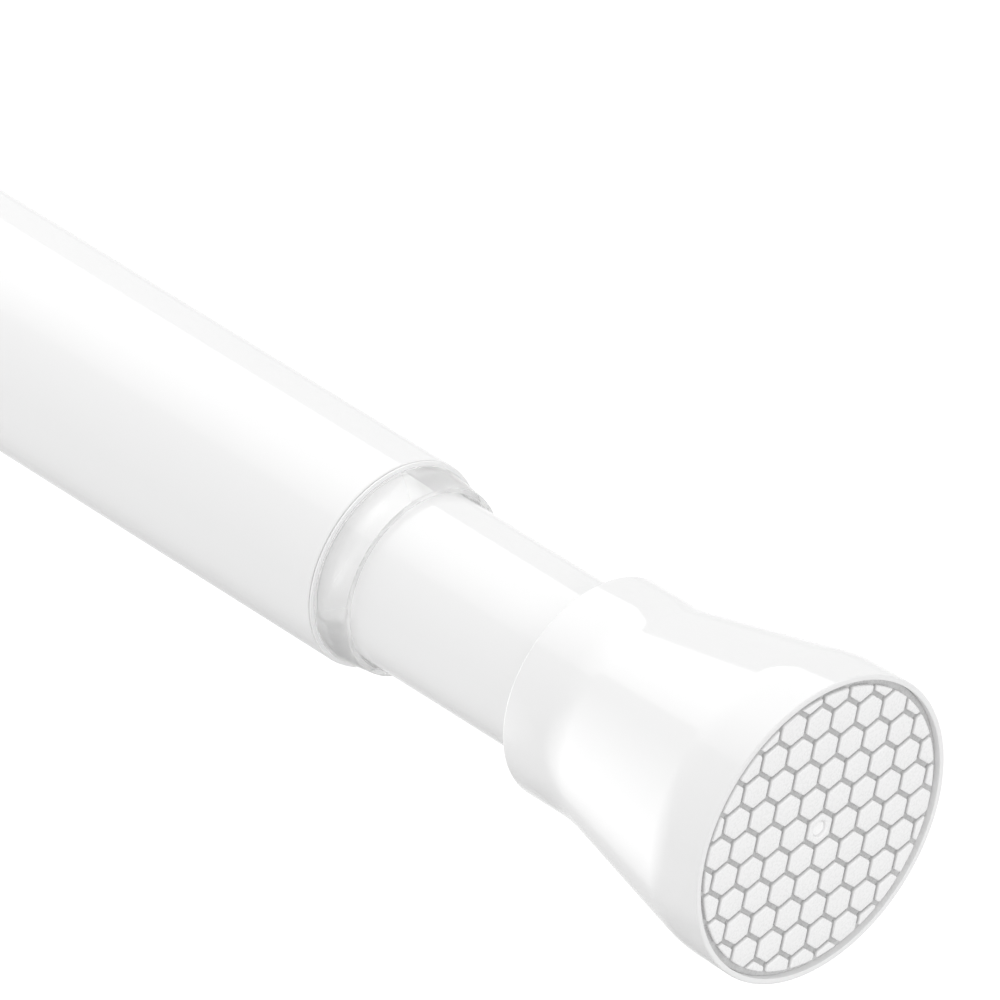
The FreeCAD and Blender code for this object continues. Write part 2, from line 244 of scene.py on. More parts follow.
# %% [markdown]
# ## The thick tube
#
# It is a welded steel tube with a thick coat of white paint. The paint draws back a little from
# the cut edge and leaves it round. The tube ends a little inside its place in the CAD model,
# because a thin flange of the collar covers its edge.

# %% Thick tube
PAINTED_EDGE = 0.2
PAINTED_BORE_EDGE = 0.15
FLANGE_LAP = 0.6         # from the tube's edge to the flat front of the mouth

tube_edge = mouth - FLANGE_LAP
outer_tube = turned("outer_tube_painted", [
    (tube_start, outer_bore, 0),
    (tube_start, outer_r, 0),
    (tube_edge, outer_r, PAINTED_EDGE),
    (tube_edge, outer_bore, PAINTED_BORE_EDGE),
])
settle(outer_tube, "root", "painted_tube", "outer_tube")

# %% [markdown]
# ## The thin tube
#
# The same tube one size down. Its inner end, out of sight, has two round holes for the pins that
# hold the spindle's guide. One cylinder across the tube cuts both with a Boolean.

# %% Thin tube
PIN_HOLE_R = 1.53
PIN_HOLE_PLACE = 17.5    # from the tube's inner end
CUTTER_SIDES = 48
CUTTER_OVER = 3          # tube radii, so that it passes through both walls


def cut_with(piece, cutter, operation):
    """Applies a Boolean of the piece with the cutter, and deletes the cutter."""
    finish_modifier(piece, "BOOLEAN", object=cutter, operation=operation, solver="EXACT")
    bpy.data.objects.remove(cutter)


inner_tube = turned("inner_tube_painted", [
    (inner_start, inner_bore, 0),
    (inner_start, inner_r, 0),
    (inner_end, inner_r, 0),
    (inner_end, inner_bore, 0),
])
deselect_all()
bpy.ops.mesh.primitive_cylinder_add(
    vertices=CUTTER_SIDES, radius=PIN_HOLE_R * MM, depth=CUTTER_OVER * inner_r * MM,
    location=((inner_start + PIN_HOLE_PLACE) * MM, 0, 0))
cut_with(inner_tube, bpy.context.object, "DIFFERENCE")
smooth(inner_tube)
settle(inner_tube, "inner_rod", "painted_tube", "inner_tube")

# %% [markdown]
# ## The collar
#
# A bush is pressed into the mouth of the thick tube, and the thin tube slides in it. Its clear nose
# stands out and tapers. It is a closed solid with a bore, so that light bends in it as it does in
# the real one, and more steps round it keep the bent view free of facets. The shank that grips the
# tube is rough, so it looks white, and so does its thin flange on the tube's edge. It is a piece of
# its own, because light stops at it: one long clear piece would show the dark inside of the tube.
# Where the nose meets the thin tube a narrow gap is left, which shows as a fine grey line.

# %% Collar sizes
COLLAR_GAP = 0.32        # between the nose and the thin tube
SHANK_GAP = 0.08         # and between the shank and the thin tube
COLLAR_FIT = 0.03        # between the shank and what it touches
NOSE_WALL = 0.83
NOSE_EDGE = 0.12         # bevel of the nose's outer edge
NOSE_LEAD = 0.1          # and of the edge of its bore
NOSE_ROUNDINGS = (0.1, 0.1, 0.06, 0.04, 0.04)
NOSE_STEPS = 288
CLEAR_DEPTH = 0.7        # how far the clear part reaches into the shank
CLEAR_LOW = 1.15         # under the thick tube's surface, inside the shank
ROOT_LOW = 0.6           # the same where the nose begins
FLANGE_LOW = 0.1         # and for the flange
FLANGE_EDGE = 0.08
FLANGE_GAP = 0.14        # the fine dark line between the tube and the flange
FLANGE_FRONT = 0.2       # from the flange to the flat front of the mouth
SHANK_ROUNDING = 0.2

collar_bore = inner_r + COLLAR_GAP
nose_r = collar_bore + NOSE_WALL
clear_back = mouth - CLEAR_DEPTH
clear_r = outer_r - CLEAR_LOW
flange_back = tube_edge + FLANGE_GAP
flange_front = mouth - FLANGE_FRONT
flange_r = outer_r - FLANGE_LOW
print(f"the nose stands out {collar_front - flange_front:.1f} mm, its wall is {NOSE_WALL} mm")

# %% Clear nose and frosted shank
collar_nose = turned("mouth_collar_clear", [
    (clear_back, collar_bore, 0),
    (clear_back, clear_r, 0),
    (flange_front + COLLAR_FIT, clear_r, 0),
    (flange_front + COLLAR_FIT, outer_r - ROOT_LOW, NOSE_ROUNDINGS[0]),
    (collar_front - NOSE_EDGE, nose_r, NOSE_ROUNDINGS[1]),
    (collar_front, nose_r - NOSE_EDGE, NOSE_ROUNDINGS[2]),
    (collar_front, collar_bore + NOSE_LEAD, NOSE_ROUNDINGS[3]),
    (collar_front - NOSE_LEAD, collar_bore, NOSE_ROUNDINGS[4]),
], NOSE_STEPS)
collar_shank = turned("mouth_collar_shank", [
    (collar_start, inner_r + SHANK_GAP, 0),
    (collar_start, outer_bore - COLLAR_FIT, SHANK_ROUNDING),
    (flange_back, outer_bore - COLLAR_FIT, 0),
    (flange_back, flange_r, FLANGE_EDGE),
    (flange_front, flange_r, FLANGE_EDGE),
    (flange_front, clear_r + COLLAR_FIT, 0),
    (clear_back - COLLAR_FIT, clear_r + COLLAR_FIT, 0),
    (clear_back - COLLAR_FIT, inner_r + SHANK_GAP, 0),
])
settle(collar_nose, "root", "clear_plastic", "mouth_collar")
settle(collar_shank, "root", "clear_plastic", "mouth_collar")

# %% [markdown]
# ## The end caps
#
# One moulding is used at both ends: a neck round the tube, a flared cone and a short drum whose
# thin rim stands round the pad. Inside are the tube's socket and a well for the screw. The cap is
# modelled once, for the thick tube, and its copy is turned round for the thin one.

# %% End cap section
CAP_DRUM = 7.6
CAP_NECK = 9.5
CAP_DRAFT = 0.1          # how much narrower the drum is where the cone begins
CAP_RIM_WALL = 0.8
CAP_RIM_ROUNDINGS = (0.12, 0.25)
CAP_WALL = 1.8
CAP_WEB = 2.4            # the wall between the tube's end and the screw's well
CAP_NECK_WALL = 0.95
CAP_NECK_ROUNDINGS = (0.22, 0.1)
CAP_FIT = 0.03
CAVITY_GAP = 0.6         # width of the hollow under the cone at its narrow end
SCREW_HOLE_R = 2.2
SCREW_HEAD_HOLE_R = 4.1
WELL_R = 5.5
DRUM_BLEND = 15.0        # radii of the long arcs between the drum, the cone and the neck
NECK_BLEND = 20.0

socket_r = outer_r + CAP_FIT
neck_r = socket_r + CAP_NECK_WALL
web_front = tube_start - CAP_WEB
neck_start = cap_back - CAP_NECK
flare = (cap_r - CAP_DRAFT - neck_r) / (neck_start - CAP_DRUM)
shell_r = cap_r - CAP_WALL
cavity_depth = CAP_DRUM + (shell_r - neck_r - CAVITY_GAP) / flare
flare_angle = math.degrees(math.atan(flare))
print(f"the cone flares {flare_angle:.1f} degrees from a {2 * neck_r:.1f} mm neck")

outer_cap = turned("outer_end_cap_moulded", [
    (wall_x, cap_r - CAP_RIM_WALL, CAP_RIM_ROUNDINGS[0]),
    (wall_x, cap_r, CAP_RIM_ROUNDINGS[1]),
    (CAP_DRUM, cap_r - CAP_DRAFT, DRUM_BLEND),
    (neck_start, neck_r, NECK_BLEND),
    (cap_back, neck_r, CAP_NECK_ROUNDINGS[0]),
    (cap_back, socket_r, CAP_NECK_ROUNDINGS[1]),
    (tube_start, socket_r, 0),
    (tube_start, SCREW_HOLE_R, 0),
    (web_front, SCREW_HOLE_R, 0),
    (web_front, SCREW_HEAD_HOLE_R, 0),
    (pad_back, SCREW_HEAD_HOLE_R, 0),
    (pad_back, WELL_R, 0),
    (web_front, WELL_R, 0),
    (web_front, neck_r, 0),
    (cavity_depth, neck_r, 0),
    (cavity_depth, neck_r + CAVITY_GAP, 0),
    (CAP_DRUM, shell_r, 0),
    (pad_back, shell_r, 0),
    (pad_back, cap_r - CAP_RIM_WALL, 0),
])

# %% Copy of a piece for the far end


def at_far_end(piece, name):
    """A copy with its own mesh, turned half a turn about the middle of the rod."""
    make_active(piece)
    bpy.ops.object.duplicate(linked=False)
    copy = bpy.context.object
    copy.name = name
    bpy.ops.transform.rotate(value=math.pi, orient_axis="Z",
                             center_override=(rod_length / 2 * MM, 0, 0))
    bpy.ops.object.transform_apply(location=True, rotation=True, scale=True)
    return copy


inner_cap = at_far_end(outer_cap, "inner_end_cap_moulded")
settle(outer_cap, "root", "cap_plastic", "outer_end_cap")
settle(inner_cap, "inner_rod", "cap_plastic", "inner_end_cap")

# %% [markdown]
# ## The honeycomb pads
#
# The pad is soft plastic with a field of six-sided cells. The grooves between them let air out, so
# that the pad grips a smooth wall. One cell is a cylinder with six sides. It is copied to every
# place, the field is trimmed to a circle with a Boolean, and a bevel then rounds all the edges
# alike, also those of the cells that the circle cuts. The cell in the middle has a dimple from
# the mould's gate.

# %% One cell and its places
CELL_HEIGHT = 0.8
CELL_PITCH = 4.64
CELL_GROOVE = 0.66
CELL_FIELD_R = 20.3
CELL_TURN = 45.0         # degrees from upright, about the rod
CELL_EDGE = 0.22
CELL_EDGE_STEPS = 4
CELL_EDGE_ANGLE = 35     # degrees, from where an edge is rounded
CELL_SUNK = 0.3          # how far a cell reaches into the base
DIMPLE_R = 1.2
DIMPLE_DEPTH = 0.42
DIMPLE_SIDES = 48
CUTTER_PAST = 1.0        # how far a cutter stands out past what it cuts
QUARTER = math.pi / 2

cell_floor = pad_front + CELL_HEIGHT
cell_back = cell_floor + CELL_SUNK


def rod_cylinder(sides, radius, x0, x1):
    """A cylinder along the rod, from x0 to x1, in mm."""
    deselect_all()
    bpy.ops.mesh.primitive_cylinder_add(
        vertices=sides, radius=radius * MM, depth=(x1 - x0) * MM,
        location=((x0 + x1) / 2 * MM, 0, 0), rotation=(0, QUARTER, 0))
    bpy.ops.object.transform_apply(location=True, rotation=True, scale=True)
    return bpy.context.object


def cell_places():
    """Centres (y, z) in mm of the cells that reach into the round field."""
    column = CELL_PITCH * math.sqrt(3) / 2
    span = int(CELL_FIELD_R / column) + 2
    places = []
    for i in range(-span, span + 1):
        for j in range(-span, span + 1):
            y, z = i * column, (j + 0.5 * (i % 2)) * CELL_PITCH
            if 0 < math.hypot(y, z) < CELL_FIELD_R + CELL_PITCH / 2:
                places.append((y, z))
    return places


cell_reach = (CELL_PITCH - CELL_GROOVE) / math.sqrt(3)
middle_cell = rod_cylinder(6, cell_reach, pad_front, cell_back)
middle_cell.name = "outer_wall_pad_moulded"
print(f"a cell is {2 * cell_reach:.2f} mm over its corners")

# %% Copy the cell over the field
copies = []
for y, z in cell_places():
    make_active(middle_cell)
    bpy.ops.object.duplicate(linked=False)
    bpy.ops.transform.translate(value=(0, y * MM, z * MM))
    copies.append(bpy.context.object)
field = copies[0]
join_into(field, copies[1:])
bpy.ops.object.transform_apply(location=True, rotation=True, scale=True)
trim = rod_cylinder(TURN_STEPS, CELL_FIELD_R, pad_front - CUTTER_PAST, cell_back + CUTTER_PAST)
cut_with(field, trim, "INTERSECT")
cell_count = len(copies) + 1
print(f"{cell_count} cells, trimmed at a radius of {CELL_FIELD_R} mm")

# %% Dimple in the middle cell
gate_pin = rod_cylinder(
    DIMPLE_SIDES, DIMPLE_R, pad_front - CUTTER_PAST, pad_front + DIMPLE_DEPTH)
cut_with(middle_cell, gate_pin, "DIFFERENCE")
print(f"the dimple is {2 * DIMPLE_R} mm wide and {DIMPLE_DEPTH} mm deep")

# %% Round the cells, add the base and turn the pad
outer_pad = middle_cell
join_into(outer_pad, [field])
finish_modifier(outer_pad, "BEVEL", width=CELL_EDGE * MM, segments=CELL_EDGE_STEPS,
                limit_method="ANGLE", angle_limit=math.radians(CELL_EDGE_ANGLE))
base = rod_cylinder(TURN_STEPS, pad_r, cell_floor, pad_back)
join_into(outer_pad, [base])
start_edit(outer_pad)
bpy.ops.mesh.select_all(action="SELECT")
bpy.ops.transform.rotate(value=-math.radians(CELL_TURN), orient_axis="X",
                         center_override=(0, 0, 0))
end_edit()
smooth(outer_pad)
inner_pad = at_far_end(outer_pad, "inner_wall_pad_moulded")
settle(outer_pad, "root", "pad_rubber", "outer_wall_pad")
settle(inner_pad, "inner_rod", "pad_rubber", "inner_wall_pad")

# %% [markdown]
# ## The spring
#
# The spring sits on the spindle inside the thick tube, between two washers. A circle of wire is
# swept up a screw with the Screw modifier, and both ends are cut flat with a bisect, as a real
# spring's ends are ground. It crosses a joint, between the spindle and the thin tube.

# %% Spring
SPRING_WIRE = 2.0
SPRING_TURNS = 5
WIRE_SIDES = 16
COIL_STEPS = 64

coil_r = spring_r - SPRING_WIRE / 2
coil_pitch = (spring_end - spring_start - SPRING_WIRE) / SPRING_TURNS
deselect_all()
bpy.ops.mesh.primitive_circle_add(
    vertices=WIRE_SIDES, radius=SPRING_WIRE / 2 * MM, rotation=(QUARTER, 0, 0),
    location=((spring_start + SPRING_WIRE / 2 - coil_pitch / 2) * MM, 0, coil_r * MM))
spring = bpy.context.object
spring.name = "spring_wire"
bpy.ops.object.transform_apply(location=True, rotation=True, scale=True)
finish_modifier(spring, "SCREW", axis="X", angle=math.tau, screw_offset=coil_pitch * MM,
                iterations=SPRING_TURNS + 1, steps=COIL_STEPS, render_steps=COIL_STEPS)
for plane_x, outward in ((spring_start, -1), (spring_end, 1)):
    start_edit(spring)
    bpy.ops.mesh.select_all(action="SELECT")
    bpy.ops.mesh.bisect(plane_co=(plane_x * MM, 0, 0), plane_no=(outward, 0, 0),
                        use_fill=True, clear_outer=True)
    end_edit()
close_seams(spring)
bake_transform(spring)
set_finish(spring, "spring_steel")
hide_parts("spring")
print(f"spring: {SPRING_TURNS} turns at {coil_pitch:.2f} mm")

# %% [markdown]
# ## Helpers for the finishes
#
# Every finish is a small tree of nodes. Colours are written as sRGB hex values, as a colour picker
# gives them, and one function turns them to the linear values that a shader works in. One function
# adds a node, and four short ones add the nodes that most finishes share: a noise, and the tint,
# the value and the relief that follow it. A noise's scale is one over the real size of what it
# shows, so a size in millimetres is all that has to be known.

# %% Colour, node and material helpers


def linear(hex_colour):
    """An sRGB hex colour such as F2F2F2 as a linear RGBA value."""
    channels = [int(hex_colour[i:i + 2], 16) / 255 for i in (0, 2, 4)]
    straight = [c / 12.92 if c <= 0.04045 else ((c + 0.055) / 1.055) ** 2.4 for c in channels]
    return (*straight, 1.0)


def add(tree, kind, sockets=None, **settings):
    """Adds a node. A socket takes a value, an output, or a node for its first output."""
    made = tree.nodes.new(kind)
    for key, value in settings.items():
        setattr(made, key, value)
    for key, value in (sockets or {}).items():
        if isinstance(value, bpy.types.Node):
            value = value.outputs[0]
        if isinstance(value, bpy.types.NodeSocket):
            tree.links.new(value, made.inputs[key])
        else:
            made.inputs[key].default_value = value
    return made


def new_finish(name):
    """An empty material, its node tree and the place on the object that patterns start from."""
    material = bpy.data.materials.new(name)
    material.use_nodes = True
    tree = material.node_tree
    tree.nodes.clear()
    return material, tree, add(tree, "ShaderNodeTexCoord").outputs["Object"]


NOISE_LOW, NOISE_HIGH = 0.3, 0.7     # nearly all of a noise lies between these


def noise(tree, place, size, detail=2.0):
    """A noise whose waves are about size mm wide."""
    return add(tree, "ShaderNodeTexNoise", {
        "Vector": place, "Scale": 1 / (size * MM), "Detail": detail})


def tint(tree, pattern, first, second):
    """A colour that goes from the first hex value to the second as the pattern goes from 0 to 1."""
    return add(tree, "ShaderNodeMixRGB", {
        "Fac": pattern, "Color1": linear(first), "Color2": linear(second)})


def between(tree, pattern, low, high):
    """A value that follows a noise from low to high."""
    return add(tree, "ShaderNodeMapRange", {
        "Value": pattern, "From Min": NOISE_LOW, "From Max": NOISE_HIGH,
        "To Min": low, "To Max": high})


def relief(tree, pattern, depth):
    """A normal that is tilted as if the pattern were depth mm high."""
    return add(tree, "ShaderNodeBump", {"Height": pattern, "Distance": depth * MM})


print("white F2F2F2 is", [round(c, 3) for c in linear("F2F2F2")])

# %% [markdown]
# ## Paint on the tubes
#
# The tubes are steel with gloss white powder coat: a dry powder that is baked until it melts into
# one skin. It flows out smooth but for a faint orange peel, waves about 1.6 mm wide and a
# thousandth of a millimetre high, which only softens what it mirrors. A plain gloss shader would
# mirror too sharply, so noise drives both the roughness and a very low bump.

# %% Powder coat
PEEL_SIZE = 1.6
PEEL_DEPTH = 0.0012
PAINT_CLOUD = 45.0       # width of the faint changes in the coat's thickness

paint, tree, place = new_finish("powder_coat_gloss_white")
peel = noise(tree, place, PEEL_SIZE, detail=1.0)
cloud = noise(tree, place, PAINT_CLOUD)
shade = tint(tree, cloud, "F1F1F1", "F3F3F3")
gloss = between(tree, peel, 0.06, 0.09)
skin = relief(tree, peel, PEEL_DEPTH)
shader = add(tree, "ShaderNodeBsdfPrincipled", {
    "Base Color": shade, "Roughness": gloss, "IOR": 1.5, "Normal": skin})
add(tree, "ShaderNodeOutputMaterial", {"Surface": shader})
print(paint.name, len(tree.nodes), "nodes")

# %% [markdown]
# ## Plastic of the caps
#
# The caps are moulded ABS from a polished mould: gloss white and smoother than the paint. Where the
# plastic shrank on its ribs, slow waves about 9 mm wide bend the reflections a little. The flow
# from the gate leaves the white a touch uneven along the cap.

# %% Gloss ABS
WAVE_SIZE = 9.0
WAVE_DEPTH = 0.004
FLOW_SIZE = 30.0
FLOW_STRETCH = 2.5       # the flow marks run along the rod

moulded, tree, place = new_finish("moulded_abs_gloss_white")
wave = noise(tree, place, WAVE_SIZE, detail=1.0)
along = add(tree, "ShaderNodeMapping", {"Vector": place, "Scale": (1 / FLOW_STRETCH, 1, 1)})
flow = noise(tree, along, FLOW_SIZE)
shade = tint(tree, flow, "F0F0F0", "F3F3F3")
gloss = between(tree, wave, 0.04, 0.07)
skin = relief(tree, wave, WAVE_DEPTH)
shader = add(tree, "ShaderNodeBsdfPrincipled", {
    "Base Color": shade, "Roughness": gloss, "IOR": 1.52, "Normal": skin})
add(tree, "ShaderNodeOutputMaterial", {"Surface": shader})
print(moulded.name, len(tree.nodes), "nodes")

# %% [markdown]
# ## The soft pad
#
# The pad is a white thermoplastic elastomer, moulded in an etched mould, which leaves a fine satin
# grain of about 0.35 mm. The round edges of the cells are painted whiter than their faces, a
# painted highlight, and the grooves are painted greyer the deeper they go, a painted shade, which
# leaves out the middle of the dimple. How deep a point lies follows from its distance from the
# middle of the rod, the same for both pads.

# %% Soft plastic
GRAIN_SIZE = 0.35
GRAIN_DEPTH = 0.0007
PAD_CLOUD = 8.0
HIGHLIGHT_FROM = 0.01       # under the pad's face, where the painted highlight on a cell's round edge begins
HIGHLIGHT_FULL = 0.07       # and where the painted highlight is quite white
SHADE_FROM = 0.25         # under the face, where the painted shade in the grooves begins
SHADE_FULL = 0.5          # and where the painted shade is full
DIMPLE_UNSHADED = 0.95      # no painted shade in the dimple, within this radius

soft, tree, place = new_finish("moulded_elastomer_satin_white")
grain = noise(tree, place, GRAIN_SIZE, detail=3.0)
cloud = noise(tree, place, PAD_CLOUD)
along = add(tree, "ShaderNodeSeparateXYZ", {0: place}).outputs["X"]
from_middle = add(tree, "ShaderNodeMath", {0: along, 1: rod_length / 2 * MM}, operation="SUBTRACT")
distance = add(tree, "ShaderNodeMath", {0: from_middle}, operation="ABSOLUTE")
face = rod_length / 2 - pad_front
# painted highlight: the round edges of the cells, just under the face, are painted whiter
edge_highlight = add(tree, "ShaderNodeMapRange", {
    "Value": distance,
    "From Min": (face - HIGHLIGHT_FROM) * MM, "From Max": (face - HIGHLIGHT_FULL) * MM})
# painted shade: the grooves, deeper under the face, are painted greyer
depth = add(tree, "ShaderNodeMapRange", {
    "Value": distance,
    "From Min": (face - SHADE_FROM) * MM, "From Max": (face - SHADE_FULL) * MM})
across = add(tree, "ShaderNodeVectorMath", {0: place, 1: (0, 1, 1)}, operation="MULTIPLY")
radius = add(tree, "ShaderNodeVectorMath", {0: across}, operation="LENGTH").outputs["Value"]
off_dimple = add(tree, "ShaderNodeMath", {
    0: radius, 1: DIMPLE_UNSHADED * MM}, operation="GREATER_THAN")
groove_shade = add(tree, "ShaderNodeMath", {0: depth, 1: off_dimple}, operation="MULTIPLY")
cell_tone = tint(tree, cloud, "F6F6F6", "F9F9F9")
# painted highlight: white is mixed in on the cells' round edges
highlighted = add(tree, "ShaderNodeMixRGB", {"Fac": edge_highlight, "Color1": cell_tone, "Color2": linear("FFFFFF")})
# painted shade: grey is mixed in the deeper the groove, but not in the middle of the dimple
shade = add(tree, "ShaderNodeMixRGB", {"Fac": groove_shade, "Color1": highlighted, "Color2": linear("D4D4D4")})
gloss = between(tree, grain, 0.24, 0.32)
skin = relief(tree, grain, GRAIN_DEPTH)
shader = add(tree, "ShaderNodeBsdfPrincipled", {
    "Base Color": shade, "Roughness": gloss, "IOR": 1.48, "Normal": skin})
add(tree, "ShaderNodeOutputMaterial", {"Surface": shader})
print(soft.name, len(tree.nodes), "nodes")

# %% [markdown]
# ## The clear collar
#
# The collar is moulded polycarbonate, clear with a little haze. Light goes into it and comes back
# from the white tubes, so it looks whitish, and greyer at its two sides, where it mirrors the view
# inside its own wall. A refracting shader alone would keep the lamps' light out of the gap, because
# rays towards a lamp don't bend. So for these rays and for scattered light it is see-through.

# %% Clear polycarbonate
HAZE_SIZE = 2.5
HAZE_STRETCH = 0.4       # the haze runs round the bore

clear, tree, place = new_finish("moulded_polycarbonate_clear")
round_bore = add(tree, "ShaderNodeMapping", {"Vector": place, "Scale": (1 / HAZE_STRETCH, 1, 1)})
haze = noise(tree, round_bore, HAZE_SIZE)
gloss = between(tree, haze, 0.02, 0.05)
shader = add(tree, "ShaderNodeBsdfPrincipled", {
    "Base Color": linear("FFFFFF"), "Roughness": gloss, "IOR": 1.58, "Transmission Weight": 0.76})
path = add(tree, "ShaderNodeLightPath")
lights = add(tree, "ShaderNodeMath", {
    0: path.outputs["Is Shadow Ray"], 1: path.outputs["Is Diffuse Ray"]}, operation="MAXIMUM")
through = add(tree, "ShaderNodeBsdfTransparent", {"Color": linear("FAFAFA")})
both = add(tree, "ShaderNodeMixShader", {0: lights, 1: shader, 2: through})
add(tree, "ShaderNodeOutputMaterial", {"Surface": both})
print(clear.name, len(tree.nodes), "nodes")

# %% [markdown]
# ## The collar's shank
#
# It is the same polycarbonate, but the mould is blasted there, so that the shank bites in the tube.
# A rough skin scatters all the light that comes through the nose, so it looks white, with a fine
# grain.

# %% Frosted polycarbonate
FROST_GRAIN = 0.2
FROST_DEPTH = 0.002

frosted, tree, place = new_finish("moulded_polycarbonate_frosted")
frost = noise(tree, place, FROST_GRAIN)
shade = tint(tree, frost, "F4F4F4", "FAFAFA")
gloss = between(tree, frost, 0.35, 0.5)
skin = relief(tree, frost, FROST_DEPTH)
shader = add(tree, "ShaderNodeBsdfPrincipled", {
    "Base Color": shade, "Roughness": gloss, "IOR": 1.58, "Normal": skin})
add(tree, "ShaderNodeOutputMaterial", {"Surface": shader})
print(frosted.name, len(tree.nodes), "nodes")

# %% [markdown]
# ## Plugs, lock and guide
#
# These moving plastic parts are natural acetal: milky white, waxy and slippery, with a satin skin.
# They hide in the tubes, but an opened rod would show them.

# %% Natural acetal
WAX_GRAIN = 0.3
WAX_DEPTH = 0.004
WAX_CLOUD = 5.0
WAX_GLOW = 0.8           # how far light spreads under the skin

acetal, tree, place = new_finish("moulded_acetal_natural")
grain = noise(tree, place, WAX_GRAIN)
cloud = noise(tree, place, WAX_CLOUD)
shade = tint(tree, cloud, "DEDEDA", "E6E6E2")
gloss = between(tree, grain, 0.38, 0.48)
skin = relief(tree, grain, WAX_DEPTH)
shader = add(tree, "ShaderNodeBsdfPrincipled", {
    "Base Color": shade, "Roughness": gloss, "IOR": 1.48, "Normal": skin,
    "Subsurface Weight": 0.2, "Subsurface Radius": (1.0, 1.0, 1.0),
    "Subsurface Scale": WAX_GLOW * MM})
add(tree, "ShaderNodeOutputMaterial", {"Surface": shader})
print(acetal.name, len(tree.nodes), "nodes")

# %% [markdown]
# ## Spindle, screws and washers
#
# These are zinc-plated steel, turned on a lathe: bright grey, with fine marks that run round the
# rod's axis. The marks are noise squeezed along the axis and stretched round it.

# %% Zinc plate
TURNING_MARK = 0.12
MARK_DEPTH = 0.002
MARK_STRETCH = 30
ZINC_CLOUD = 3.0

zinc, tree, place = new_finish("zinc_plated_turned_steel")
rings = add(tree, "ShaderNodeMapping", {
    "Vector": place, "Scale": (1, 1 / MARK_STRETCH, 1 / MARK_STRETCH)})
marks = noise(tree, rings, TURNING_MARK)
cloud = noise(tree, place, ZINC_CLOUD)
shade = tint(tree, cloud, "BFC3C7", "D2D4D6")
gloss = between(tree, marks, 0.24, 0.38)
skin = relief(tree, marks, MARK_DEPTH)
shader = add(tree, "ShaderNodeBsdfPrincipled", {
    "Base Color": shade, "Metallic": 1.0, "Roughness": gloss, "Normal": skin})
add(tree, "ShaderNodeOutputMaterial", {"Surface": shader})
print(zinc.name, len(tree.nodes), "nodes")

# %% [markdown]
# ## Spring wire and grip ring
#
# The spring is drawn steel wire under oil, dark with a soft sheen. The ring that makes the lock
# drag on the tube is black nitrile rubber, matt, with talc left in its grain.

# %% Oiled wire and rubber
DRAWING_MARK = 0.25
DRAWING_DEPTH = 0.003
RUBBER_GRAIN = 0.4
RUBBER_DEPTH = 0.006

wire, tree, place = new_finish("drawn_spring_wire_oiled")
draw = noise(tree, place, DRAWING_MARK)
shade = tint(tree, draw, "6E7276", "888C90")
gloss = between(tree, draw, 0.28, 0.42)
skin = relief(tree, draw, DRAWING_DEPTH)
shader = add(tree, "ShaderNodeBsdfPrincipled", {
    "Base Color": shade, "Metallic": 1.0, "Roughness": gloss, "Normal": skin,
    "Coat Weight": 0.3, "Coat Roughness": 0.15})
add(tree, "ShaderNodeOutputMaterial", {"Surface": shader})

rubber, tree, place = new_finish("nitrile_rubber_black")
grain = noise(tree, place, RUBBER_GRAIN, detail=3.0)
shade = tint(tree, grain, "171717", "262626")
gloss = between(tree, grain, 0.55, 0.75)
skin = relief(tree, grain, RUBBER_DEPTH)
shader = add(tree, "ShaderNodeBsdfPrincipled", {
    "Base Color": shade, "Roughness": gloss, "IOR": 1.5, "Normal": skin})
add(tree, "ShaderNodeOutputMaterial", {"Surface": shader})
print(wire.name, "and", rubber.name)

# %% [markdown]
# ## Every piece gets its finish
#
# The record names a slot for each CAD node, so one table from slot to finish dresses the nodes that
# still show and the new pieces alike. Only the collar's shank differs: it shares the nose's slot,
# but its skin is frosted.

# %% Assign the finishes
FINISHES = {
    "painted_tube": paint,
    "cap_plastic": moulded,
    "pad_rubber": soft,
    "clear_plastic": clear,
    "plug_plastic": acetal,
    "zinc_steel": zinc,
    "spring_steel": wire,
    "grip_rubber": rubber,
}


def dress(piece, slot):
    piece.data.materials.clear()
    piece.data.materials.append(FINISHES[slot])


for part in frame["record"]["subparts"]:
    dress(frame["nodes"][part["node"]], part["material_slot"])
new_pieces = [outer_tube, inner_tube, collar_nose, collar_shank, outer_cap, inner_cap,
              outer_pad, inner_pad, spring]
for piece in new_pieces:
    dress(piece, piece["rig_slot"])
collar_shank.data.materials[0] = frosted
print(len(frame["nodes"]), "nodes and", len(new_pieces), "new pieces are dressed")

# %% [markdown]
# ## Floor
#
# The photo is a product shot on white, and the rod hangs free, as it would between two walls. So a
# pale floor lies well under it. For camera, mirror and clear rays the floor gets a little light of
# its own, up to white, while the light that it throws back on the rod stays that of a pale board.
# A round patch of the floor straight under the rod is painted dark grey for mirror rays only. This
# painted reflection draws a thin grey line along the rod's lower edges, and nothing else sees the
# patch.

# %% Floor
FLOOR_BELOW = 1.3        # metres under the rod's axis
FLOOR_SIZE = 16.0
FLOOR_GLOW = 0.34        # strength of the light of its own
FLOOR_MIRRORED = 0.15    # share of that glow in the gloss, which dims the rod's lower edges
FLOOR_NEAR = 1.3         # metres from the rod's middle, up to where that share holds
FLOOR_FAR = 2.0          # and from where the gloss shows all of it, along the rod's upper edges
DARK_REFLECTION_R = 0.8             # metres, of the painted dark reflection that only the gloss sees
DARK_REFLECTION_EDGE = 1.2          # where it has faded out
TOOTH_SIZE = 1.5
TOOTH_DEPTH = 0.02


def rays_that_see_the_room(tree, mirrored_share):
    """1 for camera and transmission rays, the share for glossy rays, and 0 for the rest."""
    path = add(tree, "ShaderNodeLightPath")
    mirrored = add(tree, "ShaderNodeMath", {
        0: path.outputs["Is Glossy Ray"], 1: mirrored_share}, operation="MULTIPLY")
    seen = add(tree, "ShaderNodeMath", {
        0: path.outputs["Is Camera Ray"], 1: path.outputs["Is Transmission Ray"]},
        operation="MAXIMUM")
    return add(tree, "ShaderNodeMath", {0: seen, 1: mirrored}, operation="MAXIMUM")


